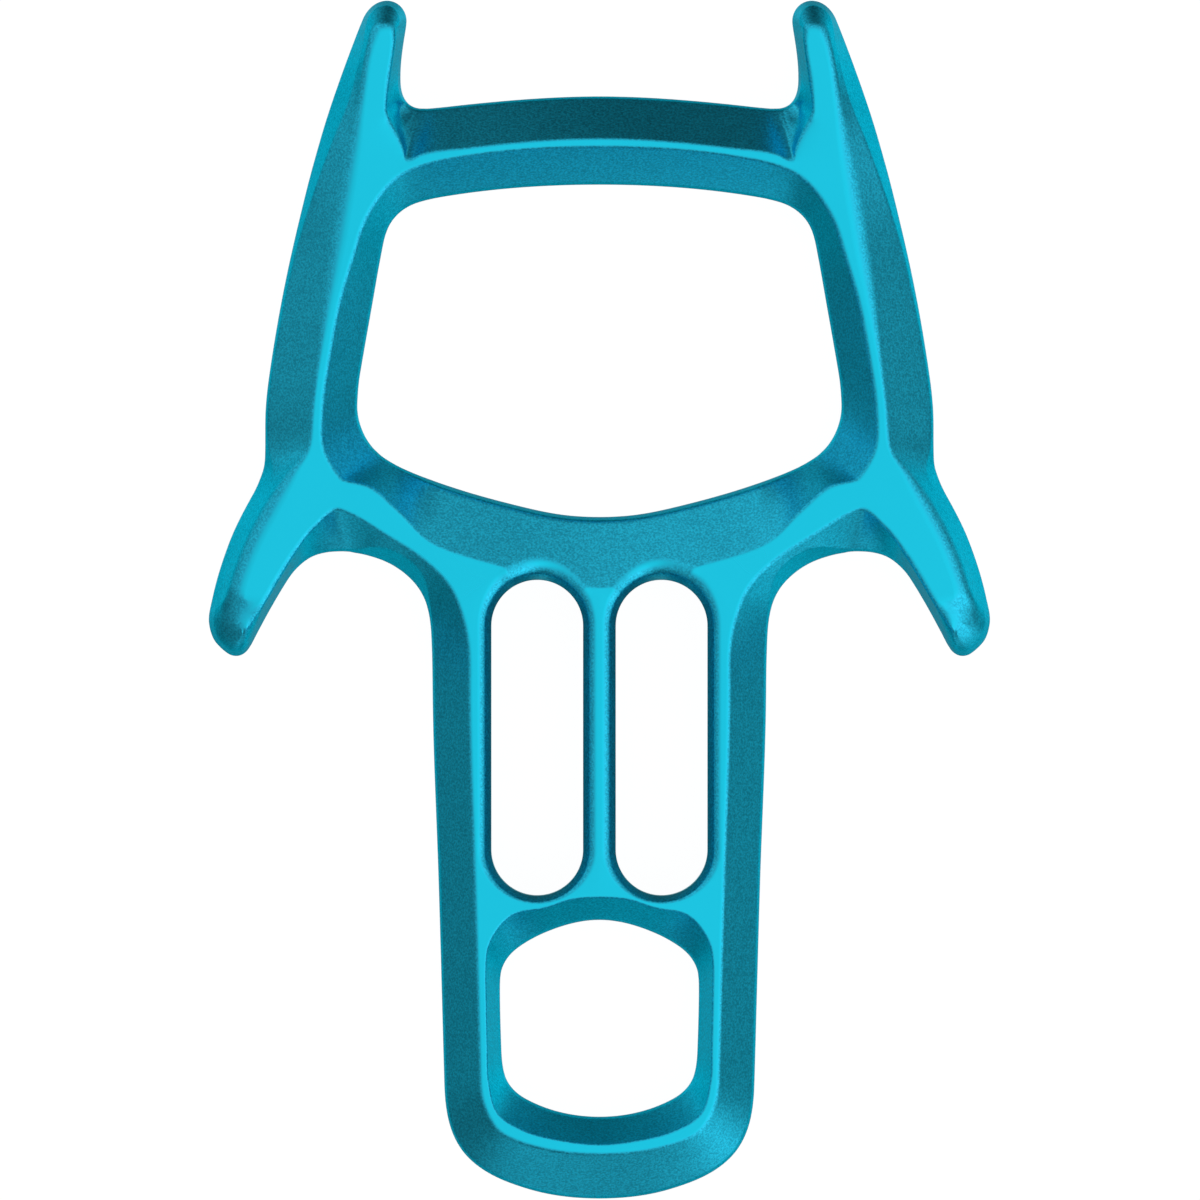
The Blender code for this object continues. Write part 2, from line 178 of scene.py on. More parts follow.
LOWER_HORN = [
    (Knot(-43.75, 16.7, 252), Knot(-40.2, 16.2, 236), FINGER_ROOT),
    (Knot(-45.0, 13.75, 241), Knot(-42.75, 12.6, 240), FINGER_SIDE),
    (Knot(-48.05, 7.58, 249), Knot(-45.85, 6.7, 247), FINGER_SIDE),
    (Knot(-50.3, 0.2, 258), Knot(-48.0, 0.2, 259), FINGER_SIDE),
    (Knot(-50.72, -3.3, 280), Knot(-48.75, -2.6, 275), FINGER_CORNER),
    (Knot(-49.75, -5.7, 311), Knot(-48.5, -4.5, 312), FINGER_TIP),
    (Knot(-48.3, -7.0, 326), Knot(-47.6, -5.6, 334), FINGER_TIP),
    (Knot(-46.9, -7.3, 370), Knot(-46.62, -5.83, 372), FINGER_CORNER),
    (Knot(-45.6, -6.4, 414), Knot(-45.68, -5.2, 412), FINGER_TURN),
    (Knot(-44.5, -4.4, 422), Knot(-45.15, -3.4, 421), FINGER_INSIDE),
    (Knot(-42.4, -0.55, 420), Knot(-43.15, -0.05, 419), FINGER_INSIDE),
    (Knot(-40.4, 2.75, 417), Knot(-41.2, 3.3, 418), FINGER_INSIDE),
]
ARCH = [
    (Knot(-38.9, 4.5, 402), Knot(-39.8, 5.6, 416), LAND),
    (Knot(-37.2, 5.65, 384), Knot(-38.1, 8.2, 414), LAND),
    (Knot(-35.5, 6.13, 370), Knot(-36.3, 10.2, 408), LAND),
    (Knot(-33.6, 6.27, 361), Knot(-34.7, 11.6, 390), LAND),
    (Knot(-32.7, 6.24, 357), Knot(-33.6, 11.7, 340), LAND),
    (Knot(-31.57, 6.04, 352), Knot(-31.5, 10.75, 331), LAND),
    (Knot(-28.7, 5.3, 341), Knot(-27.6, 8.3, 328), ARCH_WALL),
    (Knot(-24.49, 2.66, 315), Knot(-22.4, 4.8, 319), ARCH_WALL),
    (Knot(-22.45, -0.7, 287), Knot(-18.7, 0.3, 293), LAND),
    (Knot(-21.77, -6.64, 272), Knot(-17.05, -5.6, 277), LAND),
]
STEM_OUTSIDE = [
    (Knot(-21.68, -12.0, 270.5), Knot(-16.9, -12.0, 270.5), LAND),
    (Knot(-20.9, -36.5, 271.8), Knot(-16.2, -36.5, 271.8), LAND),
    (Knot(-20.15, -63.0, 271.7), Knot(-15.5, -62.5, 271.5), LAND),
]
HEEL_OUTSIDE = [
    (Knot(-18.08, -71.26, 304), Knot(-13.6, -68.3, 305), LAND),
    (Knot(-14.82, -74.29, 328), Knot(-11.5, -69.9, 335), LAND),
    (Knot(-9.31, -76.6, 343), Knot(-7.4, -71.2, 347), LAND),
    (Knot(0.0, -77.86, 360), Knot(0.0, -71.95, 360), LAND),
]
OUTLINE = TOP_BAR_OUTSIDE + UPPER_HORN + ARM_OUTSIDE + LOWER_HORN + ARCH + STEM_OUTSIDE + HEEL_OUTSIDE

ROPE_WINDOW = [
    (Knot(0.0, 53.94, 180), Knot(0.0, 58.8, 180), TOP_BAR),
    (Knot(-19.5, 52.5, 189), Knot(-20.2, 57.1, 191), TOP_BAR),
    (Knot(-23.63, 51.6, 198), Knot(-24.9, 55.6, 206), LAND),
    (Knot(-27.36, 48.54, 243), Knot(-30.0, 49.9, 241), LAND),
    (Knot(-28.4, 44.7, 259), Knot(-31.7, 45.2, 253), LAND),
    (Knot(-29.45, 38.82, 260), Knot(-33.45, 39.5, 255), LAND),
    (Knot(-31.1, 29.4, 260.5), Knot(-35.3, 29.9, 260), LAND),
    (Knot(-31.47, 25.4, 268), Knot(-35.95, 24.8, 267), LAND),
    (Knot(-30.7, 21.7, 294), Knot(-35.5, 18.6, 295), LAND),
    (Knot(-29.5, 19.8, 310), Knot(-33.8, 15.85, 309), LAND),
    (Knot(-28.7, 19.0, 316), Knot(-33.2, 15.45, 343), LAND),
    (Knot(-26.9, 17.75, 329), Knot(-29.6, 14.5, 330), LAND),
    (Knot(-24.24, 16.47, 337), Knot(-26.3, 11.6, 318), LAND),
    (Knot(-21.3, 15.35, 340), Knot(-23.1, 8.25, 318), ROPE_BAR_LIP),
    (Knot(-18.61, 14.44, 342), Knot(-20.6, 6.7, 337), ROPE_BAR_LIP),
    (Knot(-10.93, 12.29, 346), Knot(-12.0, 4.05, 343), ROPE_BAR_LIP),
    (Knot(-5.08, 11.07, 352), Knot(-5.4, 2.3, 348), ROPE_BAR_LIP),
    (Knot(0.0, 10.74, 360), Knot(0.0, 1.5, 360), ROPE_BAR_LIP),
]

EYE = [
    (Knot(0.0, -41.64, 180), Knot(0.0, -38.65, 180), EYE_WALL),
    (Knot(-5.0, -42.5, 198), Knot(-5.6, -39.5, 203), EYE_WALL),
    (Knot(-7.75, -43.58, 205), Knot(-9.4, -40.35, 185), EYE_WALL),
    (Knot(-9.93, -44.79, 213), Knot(-12.1, -41.4, 221), EYE_WALL),
    (Knot(-11.81, -46.41, 232), Knot(-14.2, -44.35, 246), EYE_WALL),
    (Knot(-12.82, -48.6, 261), Knot(-14.75, -48.3, 268), EYE_WALL),
    (Knot(-12.93, -50.6, 270), Knot(-14.7, -50.6, 270.5), EYE_WALL),
    (Knot(-12.75, -58.4, 272), Knot(-14.55, -58.4, 271), EYE_WALL),
    (Knot(-12.3, -61.8, 287), Knot(-14.4, -62.6, 280), EYE_WALL),
    (Knot(-10.61, -64.2, 321), Knot(-12.9, -67.1, 314), EYE_WALL),
    (Knot(-8.47, -65.44, 335), Knot(-10.1, -68.85, 335), EYE_WALL),
    (Knot(-3.71, -66.91, 350), Knot(-4.3, -70.35, 350), EYE_WALL),
    (Knot(0.0, -67.23, 360), Knot(0.0, -70.75, 360), EYE_WALL),
]


def bearing(heading):
    return Vector((cos(radians(heading)), sin(radians(heading)), 0.0))


def curve_between(start, end, steps):
    """Points from one knot to the next, on a curve that keeps both headings."""
    first = Vector((start.x, start.y, 0.0))
    last = Vector((end.x, end.y, 0.0))
    turn = radians(end.heading - start.heading)
    reach = (last - first).length / (3 * cos(turn / 4) ** 2)
    leave = first + bearing(start.heading) * reach
    meet = last - bearing(end.heading) * reach
    return interpolate_bezier(first, leave, meet, last, steps + 1)


def steps_between(start, end):
    length = Vector((end.x - start.x, end.y - start.y)).length
    return max(1, ceil(length / STEP_LENGTH), ceil(abs(end.heading - start.heading) / STEP_TURN))


def rounded_corner(before, corner, after, reach, facets):
    """Points of a rounding that leaves one leg and meets the other at the same reach."""
    start = corner + (before - corner).normalized() * reach
    end = corner + (after - corner).normalized() * reach
    points = []
    for index in range(facets + 1):
        t = index / facets
        points.append(start.lerp(corner, t).lerp(corner.lerp(end, t), t))
    return points


def section_points(width, section):
    """The section from the parting line to the flat of the crest, as plan distance and height.
    A margin inside each flat keeps the smooth shading of the roundings off it."""
    foot = Vector((0.0, 0.0))
    shoulder = Vector((section.run, section.rise))
    edge = Vector((width, HALF_THICKNESS))
    flat = edge + Vector((1.0, 0.0))
    wall = shoulder - foot
    bevel = edge - shoulder
    edge_turn = bevel.angle(flat - edge)
    edge_reach = min(section.rounding * tan(edge_turn / 2), CREST_SHARE_OF_BEVEL * bevel.length)
    along = min(section.along, VALLEY_HIGHEST - edge_reach / bevel.length)
    valley = shoulder + bevel * along - Vector((0.0, section.depth))
    turn = wall.angle(valley - shoulder)
    shoulder_reach = min(
        SHOULDER_ROUNDING * tan(turn / 2),
        SHOULDER_SHARE_OF_WALL * wall.length,
        SHOULDER_SHARE_OF_BEVEL * (valley - shoulder).length,
    )
    parting_reach = min(PARTING_ROUNDING, PARTING_SHARE_OF_WALL * wall.length)
    parting = rounded_corner(foot - Vector((0.0, 1.0)), foot, shoulder, parting_reach, PARTING_FACETS)
    lower = rounded_corner(foot, shoulder, valley, shoulder_reach, SHOULDER_FACETS)
    upper = rounded_corner(valley, edge, flat, edge_reach, CREST_FACETS)
    valley_reach = VALLEY_SHARE_OF_SIDES * min((lower[-1] - valley).length, (upper[0] - valley).length)
    middle = rounded_corner(shoulder, valley, edge, valley_reach, VALLEY_FACETS)
    margins = [
        lower[-1].lerp(middle[0], SHADING_MARGIN),
        middle[-1].lerp(upper[0], 1 - SHADING_MARGIN),
    ]
    rows = [foot] + parting[2:] + lower + margins[:1] + middle + margins[1:] + upper
    return rows + [upper[-1] + Vector((FLAT_MARGIN, 0.0))]


def blend(first, second, t):
    return Section(*(a + (b - a) * t for a, b in zip(first, second)))


def softened(sections, reach):
    """Average each section with its neighbours, so that no crease is left where two meet."""
    soft = []
    last = len(sections) - 1
    for index in range(len(sections)):
        near = [sections[min(max(i, 0), last)] for i in range(index - reach, index + reach + 1)]
        soft.append(Section(*(sum(values) / len(near) for values in zip(*near))))
    return soft


def side_stations(knots):
    """One row of points up the side of the body at each step along an outline."""
    feet, edges, sections = [], [], []
    for (foot_a, edge_a, section_a), (foot_b, edge_b, section_b) in zip(knots, knots[1:]):
        steps = max(steps_between(foot_a, foot_b), steps_between(edge_a, edge_b))
        first = 0 if not feet else 1
        feet += curve_between(foot_a, foot_b, steps)[first:]
        edges += curve_between(edge_a, edge_b, steps)[first:]
        sections += [blend(section_a, section_b, i / steps) for i in range(first, steps + 1)]
    stations = []
    for foot, edge, section in zip(feet, edges, softened(sections, SECTION_REACH)):
        inward = (edge - foot).normalized()
        row = section_points((edge - foot).length, section)
        stations.append([foot + inward * d + Vector((0.0, 0.0, z)) for d, z in row])
    return stations


def add_side(bm, knots):
    """The wall, bevel and rounded edge along one outline. Returns its vertices on the crest."""
    rows = [[bm.verts.new(point * MM) for point in station] for station in side_stations(knots)]
    for low, high in zip(rows, rows[1:]):
        for a, b, c, d in zip(low, low[1:], high[1:], high):
            bm.faces.new((a, b, c, d))
    return [row[-1] for row in rows]


def close_below(bm):
    """Close the quarter with a skirt down to a flat floor, so that it can be cut as a solid."""
    rim = [edge for edge in bm.edges if edge.is_boundary]
    skirt = bmesh.ops.extrude_edge_only(bm, edges=rim)["geom"]
    for item in skirt:
        if isinstance(item, bmesh.types.BMVert):
            item.co.z = -SKIRT_DEPTH * MM
    bmesh.ops.contextual_create(bm, geom=[e for e in bm.edges if e.is_boundary])
    bmesh.ops.remove_doubles(bm, verts=bm.verts, dist=MM * SEAM_MERGE)
    bmesh.ops.recalc_face_normals(bm, faces=bm.faces)


def quarter_blank():
    """The quarter before its rope slot is pierced, closed below."""
    bm = bmesh.new()
    outside = add_side(bm, OUTLINE)
    window = add_side(bm, ROPE_WINDOW)
    eye = add_side(bm, EYE)
    crest = bm.faces.new(outside + eye[::-1] + window[::-1])
    crest.normal_update()
    bmesh.ops.triangulate(bm, faces=[crest])
    close_below(bm)
    return bm


def slot_cutter():
    """A prism as wide as the slot with its rims, its ends half ellipses."""
    bm = bmesh.new()
    count = ceil(180 / RIM_STEP_TURN)
    half_width = SLOT_RADIUS + RIM_AT_SIDES
    outline = []
    for centre, reach, first in (
        (SLOT_TOP_CENTRE, SLOT_RADIUS + RIM_AT_TOP, 0.0),
        (SLOT_LOWER_CENTRE, SLOT_RADIUS + RIM_AT_BOTTOM, pi),
    ):
        for index in range(count + 1):
            angle = first + pi * index / count
            x = -SLOT_FROM_CENTRE_LINE + half_width * cos(angle)
            outline.append(bm.verts.new(Vector((x, centre + reach * sin(angle), -CUTTER_OVERRUN)) * MM))
    base = bm.faces.new(outline)
    top = bmesh.ops.extrude_face_region(bm, geom=[base])["geom"]
    lift = Vector((0.0, 0.0, HALF_THICKNESS + 2 * CUTTER_OVERRUN)) * MM
    bmesh.ops.translate(bm, verts=[v for v in top if isinstance(v, bmesh.types.BMVert)], vec=lift)
    bmesh.ops.recalc_face_normals(bm, faces=bm.faces)
    return bm


def new_object(name, bm):
    mesh = bpy.data.meshes.new(name)
    bm.to_mesh(mesh)
    bm.free()
    item = bpy.data.objects.new(name, mesh)
    bpy.context.scene.collection.objects.link(item)
    return item


def pierced_quarter():
    """The quarter with its slot cut out, open at the parting plane and the centre line."""
    blank = new_object("quarter_blank", quarter_blank())
    cutter = new_object("slot_cutter", slot_cutter())
    cut = blank.modifiers.new("slot", "BOOLEAN")
    cut.object = cutter
    evaluated = blank.evaluated_get(bpy.context.evaluated_depsgraph_get())
    bm = bmesh.new()
    bm.from_mesh(evaluated.to_mesh())
    bpy.data.objects.remove(blank)
    bpy.data.objects.remove(cutter)
    below = [vert for vert in bm.verts if vert.co.z < -SKIRT_DEPTH / 2 * MM]
    bmesh.ops.delete(bm, geom=below, context="VERTS")
    bmesh.ops.remove_doubles(bm, verts=bm.verts, dist=CUT_MERGE * MM)
    return bm


class RimRoll:
    """The round from one point of the cut edge to the slot's wall."""

    def __init__(self, vert):
        point = vert.co / MM
        middle = min(max(point.y, SLOT_LOWER_CENTRE), SLOT_TOP_CENTRE)
        self.axis = Vector((-SLOT_FROM_CENTRE_LINE, middle, 0.0))
        out = Vector((point.x, point.y, 0.0)) - self.axis
        self.out = out.normalized()
        self.reach = out.length - SLOT_RADIUS
        self.height = point.z
        normal = sum((face.normal * face.calc_area() for face in vert.link_faces), Vector()).normalized()
        self.fall = atan2(normal.dot(self.out), normal.z)

    def point(self, facet):
        """Facets of the round, then the foot of the chamfer, then the foot of the wall."""
        if facet > RIM_FACETS + 1:
            return (self.axis + self.out * SLOT_RADIUS) * MM
        radius = (self.reach - RIM_CHAMFER) / (sin(self.fall) + sin(RIM_CHAMFER_TILT))
        angle = self.fall - (self.fall + RIM_CHAMFER_TILT) * min(facet / RIM_FACETS, 1.0)
        reach = SLOT_RADIUS + RIM_CHAMFER + radius * (sin(angle) + sin(RIM_CHAMFER_TILT))
        height = self.height + radius * (cos(angle) - cos(self.fall))
        if facet > RIM_FACETS:
            reach -= RIM_CHAMFER
            height -= RIM_CHAMFER * tan(RIM_CHAMFER_TILT)
        return (self.axis + self.out * reach + Vector((0.0, 0.0, height))) * MM


def even_out(rolls):
    """Average each roll's fall with those of its neighbours, so that no notch is left where the
    rim passes from the flat crest onto a bevel."""
    falls = []
    for vert in rolls:
        near = [(1 - (vert.co - other.co).length / (RIM_EVENING_REACH * MM), other) for other in rolls]
        near = [(weight, other) for weight, other in near if weight > 0]
        total = sum(weight for weight, other in near)
        falls.append(sum(weight * rolls[other].fall for weight, other in near) / total)
    for roll, fall in zip(rolls.values(), falls):
        roll.fall = fall


def roll_rim(bm):
    """Roll the cut edge of the slot over, in a round that starts flush with the surface around
    it and ends in the slot's upright wall, which runs down to the parting plane."""
    clear = CLEAR_OF_CUTS * MM
    rim = [
        e for e in bm.edges
        if e.is_boundary and all(v.co.z > clear and v.co.x < -clear for v in e.verts)
    ]
    rolls = {vert: RimRoll(vert) for edge in rim for vert in edge.verts}
    even_out(rolls)
    for facet in range(1, RIM_FACETS + 3):
        grown = bmesh.ops.extrude_edge_only(bm, edges=rim)["geom"]
        verts = [item for item in grown if isinstance(item, bmesh.types.BMVert)]
        rim = [item for item in grown if isinstance(item, bmesh.types.BMEdge)]
        by_place = {tuple(old.co): roll for old, roll in rolls.items()}
        rolls = {vert: by_place[tuple(vert.co)] for vert in verts}
        for vert, roll in rolls.items():
            vert.co = roll.point(facet)
        for edge in rim:
            edge.smooth = facet != RIM_FACETS + 1


def soften(bm, crowding):
    """Even out the surface where rows crowd together, less towards the edge of the reach."""
    middle = Vector((crowding.x, crowding.y)) * MM
    for ring in EVENED_RINGS:
        near = [
            vert for vert in bm.verts
            if (vert.co.xy - middle).length < crowding.reach * ring * MM and vert.co.z > EVENED_ABOVE * MM
        ]
        for _ in range(crowding.passes // len(EVENED_RINGS)):
            bmesh.ops.smooth_vert(
                bm, verts=near, factor=EVENED_BY, use_axis_x=True, use_axis_y=True, use_axis_z=True
            )


quarter = pierced_quarter()
roll_rim(quarter)
soften(quarter, LOWER_HORN_TIP)
soften(quarter, UPPER_HORN_ROOT)
bmesh.ops.recalc_face_normals(quarter, faces=quarter.faces)
body = new_object("descender_body", quarter)
bpy.ops.object.select_all(action="DESELECT")
body.select_set(True)
bpy.context.view_layer.objects.active = body
mirror = body.modifiers.new("other_quarters", "MIRROR")
mirror.use_axis = (True, False, True)
mirror.merge_threshold = CUT_MERGE * MM
bpy.ops.object.modifier_apply(modifier=mirror.name)
body.location.z = HALF_THICKNESS * MM
bpy.ops.object.transform_apply(location=True, rotation=False, scale=False)
body.data.shade_smooth()

# How steep the surface is at each point, 0 on the flat and 1 upright, and whether the point is on a
# slot's wall, which takes painted shade
slopes = body.data.attributes.new("slope", "FLOAT", "POINT")
bore_shade_masks = body.data.attributes.new("bore_shade_mask", "FLOAT", "POINT")
for vert in body.data.vertices:
    slopes.data[vert.index].value = acos(min(abs(vert.normal.z), 1.0)) / (pi / 2)
    across = abs(vert.co.x) / MM - SLOT_FROM_CENTRE_LINE
    beyond = max(vert.co.y / MM - SLOT_TOP_CENTRE, SLOT_LOWER_CENTRE - vert.co.y / MM, 0.0)
    bore_shade_masks.data[vert.index].value = float(abs(hypot(across, beyond) - SLOT_RADIUS) < BORE_TOLERANCE)
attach(body, "root")
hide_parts("forged_body")


# Anodised finish
# The forging is blasted with fine bead, which leaves an even grain on its walls and bevels, and its
# crest is ground smooth. It is then dyed teal and sealed. A painted highlight pales the crest's rounded
# edges a little, unevenly where rubbed.


class Finish:
    """A value that varies over a surface. Arithmetic on it adds Math nodes to its tree."""

    def __init__(self, tree, socket=None):
        self.tree = tree
        self.socket = socket

    def plug(self, slot):
        self.tree.links.new(self.socket, slot)

    def node(self, kind, settings=None, inputs=None, output=0):
        """Any other node: its settings first, then a value or a link for each input."""
        made = self.tree.nodes.new(kind)
        for name, value in (settings or {}).items():
            setattr(made, name, value)
        for name, value in (inputs or {}).items():
            if isinstance(value, Finish):
                value.plug(made.inputs[name])
            else:
                made.inputs[name].default_value = value
        return Finish(self.tree, made.outputs[output])

    def maths(self, operation, first, second=0.0):
        return self.node("ShaderNodeMath", {"operation": operation}, {0: first, 1: second})

    def __add__(self, other):
        return self.maths("ADD", self, other)

    def __radd__(self, other):
        return self.maths("ADD", other, self)

    def __sub__(self, other):
        return self.maths("SUBTRACT", self, other)

    def __rsub__(self, other):
        return self.maths("SUBTRACT", other, self)

    def __mul__(self, other):
        return self.maths("MULTIPLY", self, other)

    def __rmul__(self, other):
        return self.maths("MULTIPLY", other, self)

    def eased(self, low, high):
        """0 below low and 1 above high, eased between. With high below low it falls instead."""
        limits = {"Value": self, "From Min": low, "From Max": high}
        return self.node("ShaderNodeMapRange", {"interpolation_type": "SMOOTHSTEP"}, limits)

    def noise(self, size, detail, roughness):
        """Noise about 0 whose clouds are this size in metres."""
        grain = {"Vector": self, "Scale": 1 / size, "Detail": detail, "Roughness": roughness}
        return self.node("ShaderNodeTexNoise", None, grain) - 0.5


# The deep and the pale tone of each kind of surface. The slots' walls take a duller, darker teal in
# this share, a painted shade, which keeps the light that they reflect twice teal.
GROUND_DEEP = (0.010, 0.500, 0.680, 1.0)
GROUND_PALE = (0.018, 0.700, 0.950, 1.0)
# Blasted tones: the grain's range, set a little darker and bluer than the crest's as painted shade
BLASTED_AND_SHADED_DEEP = (0.018, 0.430, 0.634, 1.0)
BLASTED_AND_SHADED_PALE = (0.030, 0.690, 0.975, 1.0)
BORE_PAINTED_SHADE = (0.100, 0.460, 0.500, 1.0)
BORE_SHADE_SHARE = 0.65
GLANCING_TINT = (0.33, 0.93, 1.0, 1.0)

# The slopes over which each effect comes in, and over which the crest's edge fades out again
BLASTED_SLOPES = (0.05, 0.25)
GRAINED_SLOPES = (0.10, 0.32)
EDGE_IN = (0.02, 0.12)
EDGE_OUT = (0.45, 0.2)

# Cloud sizes in metres: the marks of the bead, shallow pits, the uneven dye and rubbed places
BEAD_SIZE = 0.00027
PIT_SIZE = 0.0014
DYE_SIZE = 0.03
RUB_SIZE = 0.004

# How much each of them pales or deepens the metal
DYE_ON_CREST = 0.3
# The painted highlight on the crest's rounded edges, and how much rubbed clouds vary it
EDGE_PAINTED_HIGHLIGHT = 0.03
RUB_PALING = 0.25
BEAD_CONTRAST = 3.2
PIT_CONTRAST = 0.4
DYE_ON_BEVELS = 0.25

# Roughness of the crest, and what is added to it
ROUGHNESS = 0.28
BLASTED_ROUGHER = 0.03
BEAD_ROUGHER = 0.1
DYE_ROUGHER = 0.05

RELIEF_STRENGTH = 0.3
RELIEF_DEPTH = 0.0001

anodised = bpy.data.materials.new("anodised_teal")
anodised.use_nodes = True
shader = anodised.node_tree.nodes["Principled BSDF"]
metal = Finish(anodised.node_tree)
place = metal.node("ShaderNodeTexCoord", output="Object")
slope = metal.node("ShaderNodeAttribute", {"attribute_name": "slope"}, output="Fac")
bore_shade_mask = metal.node("ShaderNodeAttribute", {"attribute_name": "bore_shade_mask"}, output="Fac")

blasted = slope.eased(*BLASTED_SLOPES)
grained = slope.eased(*GRAINED_SLOPES)
crest_edge = slope.eased(*EDGE_IN) * slope.eased(*EDGE_OUT)
bead = place.noise(BEAD_SIZE, detail=1.0, roughness=0.6)
pits = place.noise(PIT_SIZE, detail=2.0, roughness=0.5)
dye = place.noise(DYE_SIZE, detail=3.0, roughness=0.5)
rub = place.noise(RUB_SIZE, detail=3.0, roughness=0.6)


def teal(deep, pale, amount):
    shades = {"Factor": amount, "A": deep, "B": pale}
    return metal.node("ShaderNodeMix", {"data_type": "RGBA"}, shades, output=2)


# Painted highlight: the crest's rounded edges are paled, unevenly where rubbed
edge_highlight_and_rub = crest_edge * (EDGE_PAINTED_HIGHLIGHT + rub * RUB_PALING)
ground = teal(GROUND_DEEP, GROUND_PALE, 0.5 + dye * DYE_ON_CREST + edge_highlight_and_rub)
grain = grained * (bead * BEAD_CONTRAST + pits * PIT_CONTRAST)
# Partly painted shade: the bevels' grained teal is a little darker and bluer than the crest's
grainy_and_shaded = teal(BLASTED_AND_SHADED_DEEP, BLASTED_AND_SHADED_PALE, 0.5 + grain + dye * DYE_ON_BEVELS)
outside = teal(ground, grainy_and_shaded, blasted)
# Painted shade: the slots' walls are mixed towards a duller, darker teal
teal(outside, BORE_PAINTED_SHADE, bore_shade_mask * BORE_SHADE_SHARE).plug(shader.inputs["Base Color"])
roughness = ROUGHNESS + blasted * BLASTED_ROUGHER + grained * bead * BEAD_ROUGHER + dye * DYE_ROUGHER
roughness.plug(shader.inputs["Roughness"])
relief = {"Height": grained * bead, "Strength": RELIEF_STRENGTH, "Distance": RELIEF_DEPTH}
metal.node("ShaderNodeBump", None, relief).plug(shader.inputs["Normal"])
shader.inputs["Metallic"].default_value = 1.0
shader.inputs["Specular Tint"].default_value = GLANCING_TINT
body.data.materials.append(anodised)


# Studio
# The body lies on white paper in a light tent. The tent is brightest overhead, soft panels and dark
# flags stand round its wall, and a lit table below shows in the steep walls. The camera sees the tent
# and the lit paper as white, and the paper is left out of reflections.

# The level of the whole tent, and the bright lobe overhead: its strength, how tightly it is bounded,
# and how far and towards which azimuth it leans
TENT = 0.2
OVERHEAD = 0.86
OVERHEAD_TIGHTNESS = 1.85
OVERHEAD_LEAN = radians(23)
OVERHEAD_AZIMUTH = radians(338)

# Each panel: its azimuth from +X in degrees, how tightly it is bounded to the sides, its height as
# the sine of its elevation, how far it spreads up and down, and its strength. A flag has less than 0.
Panel = namedtuple("Panel", "azimuth tightness height spread strength")
PANELS = [
    Panel(19, 10.7, -0.55, 0.55, 0.42),
    Panel(108, 5.4, 0.30, 0.50, 0.46),
    Panel(149, 7.9, -0.38, 1.0, 0.32),
    Panel(261, 13.3, -0.25, 0.35, 0.64),
    Panel(318, 5.1, 0.05, 0.62, 0.68),
]
FLAGS = [
    Panel(3, 8.3, -0.18, 0.39, -0.50),
    Panel(90, 8.9, 0.11, 0.56, -0.47),
    Panel(188, 3.9, -0.20, 0.34, -0.10),
    Panel(272, 6.7, 0.08, 0.70, -0.50),
]

# The lit table and the body's own shadow on it: how strong each is, and where it starts and is full,
# as the sine of the elevation
TABLE = 0.34
TABLE_FROM = -0.68
TABLE_FULL = -0.80
SHADOW = 0.28
SHADOW_FROM = -0.81
SHADOW_FULL = -0.91

# Straight up and down, where all azimuths meet, the panels fade out within this much
POLE_CLEARANCE = 0.3

world = bpy.data.worlds.new("light_tent")
bpy.context.scene.world = world
world.use_nodes = True
background = world.node_tree.nodes["Background"]
tent = Finish(world.node_tree)
towards = tent.node("ShaderNodeTexCoord", output="Generated")
rise = tent.node("ShaderNodeSeparateXYZ", None, {0: towards}, output="Z")
level = tent.node("ShaderNodeVectorMath", {"operation": "MULTIPLY"}, {0: towards, 1: (1.0, 1.0, 0.0)})
wall = tent.node("ShaderNodeVectorMath", {"operation": "NORMALIZE"}, {0: level})
outward = tent.node("ShaderNodeVectorMath", {"operation": "LENGTH"}, {0: level}, output=1)


def facing(direction, aim):
    """1 where the two agree, falling to -1 where they are opposed."""
    return tent.node("ShaderNodeVectorMath", {"operation": "DOT_PRODUCT"}, {0: direction, 1: aim}, output=1)


def swell(value):
    """e to this power."""
    return tent.maths("EXPONENT", value)


overhead_aim = (
    sin(OVERHEAD_LEAN) * cos(OVERHEAD_AZIMUTH),
    sin(OVERHEAD_LEAN) * sin(OVERHEAD_AZIMUTH),
    cos(OVERHEAD_LEAN),
)
light = TENT + OVERHEAD * swell(OVERHEAD_TIGHTNESS * (facing(towards, overhead_aim) - 1))
panels = 0.0
for panel in PANELS + FLAGS:
    azimuth = radians(panel.azimuth)
    aside = panel.tightness * (facing(wall, (cos(azimuth), sin(azimuth), 0.0)) - 1)
    away = (rise - panel.height) * (1 / panel.spread)
    panels = panels + panel.strength * swell(aside - away * away)
table = TABLE * rise.eased(TABLE_FROM, TABLE_FULL) - SHADOW * rise.eased(SHADOW_FROM, SHADOW_FULL)
light = light + panels * outward.eased(0.0, POLE_CLEARANCE) + table
seen = tent.node("ShaderNodeLightPath", output="Is Camera Ray")
(light + seen * (1 - light)).plug(background.inputs["Strength"])
background.inputs["Color"].default_value = (1, 1, 1, 1)

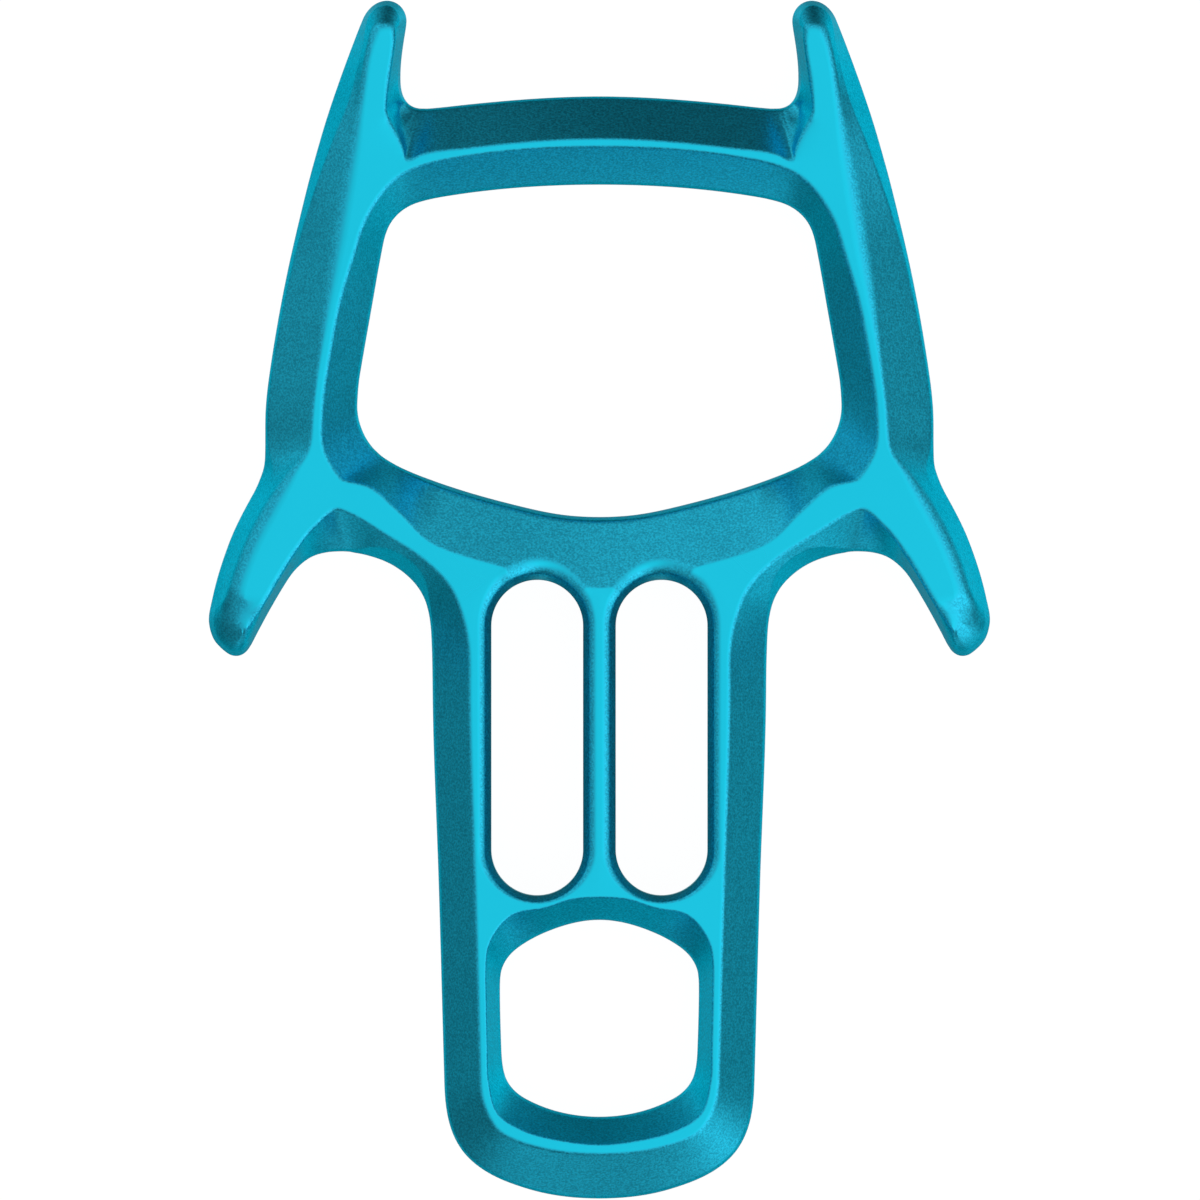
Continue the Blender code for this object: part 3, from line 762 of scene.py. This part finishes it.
# The paper lies just under the body, whose slot rims reach a few hundredths of a millimetre below 0
PAPER_SIZE = 6.0
PAPER_DROP = 0.03
PAPER = (0.8, 0.8, 0.8, 1)
PAPER_GLOW = 1.1
PAPER_SHARE_SEEN_LIT = 0.88

bpy.ops.object.select_all(action="DESELECT")
bpy.ops.mesh.primitive_plane_add(size=PAPER_SIZE, location=(0, 0, -PAPER_DROP * MM))
paper = bpy.context.object
paper.name = "white_paper"
bpy.ops.object.transform_apply(location=True, rotation=False, scale=False)
paper.visible_glossy = False
white = bpy.data.materials.new("white_paper")
white.use_nodes = True
matt = white.node_tree.nodes["Principled BSDF"]
matt.inputs["Base Color"].default_value = PAPER
matt.inputs["Roughness"].default_value = 1.0
sheet = Finish(white.node_tree)
glow = sheet.node("ShaderNodeEmission", None, {"Strength": PAPER_GLOW})
seen = sheet.node("ShaderNodeLightPath", output="Is Camera Ray")
lit = Finish(white.node_tree, matt.outputs[0])
paper_mix = sheet.node("ShaderNodeMixShader", None, {0: seen * PAPER_SHARE_SEEN_LIT, 1: lit, 2: glow})
paper_mix.plug(white.node_tree.nodes["Material Output"].inputs["Surface"])
paper.data.materials.append(white)

# The photograph's view: from straight above and far off, at 0.13 mm to a pixel at half the body's
# thickness, and this many pixels right of and below the body's middle
CAMERA_HEIGHT = 4.0
CAMERA_FAR = 20.0
SENSOR_WIDTH = 36.0
PIXEL = 0.13 * MM
PIXELS_RIGHT = 0.6
PIXELS_DOWN = 0.4
IMAGE_SIZE = 1200
camera_data = bpy.data.cameras.new("camera")
camera_data.sensor_width = SENSOR_WIDTH
camera_data.lens = SENSOR_WIDTH * (CAMERA_HEIGHT - HALF_THICKNESS * MM) / (IMAGE_SIZE * PIXEL)
camera_data.clip_end = CAMERA_FAR
camera = bpy.data.objects.new("camera", camera_data)
camera.location = (PIXELS_RIGHT * PIXEL, -PIXELS_DOWN * PIXEL, CAMERA_HEIGHT)
bpy.context.scene.collection.objects.link(camera)
bpy.context.scene.camera = camera
bpy.context.scene.view_settings.view_transform = "Standard"
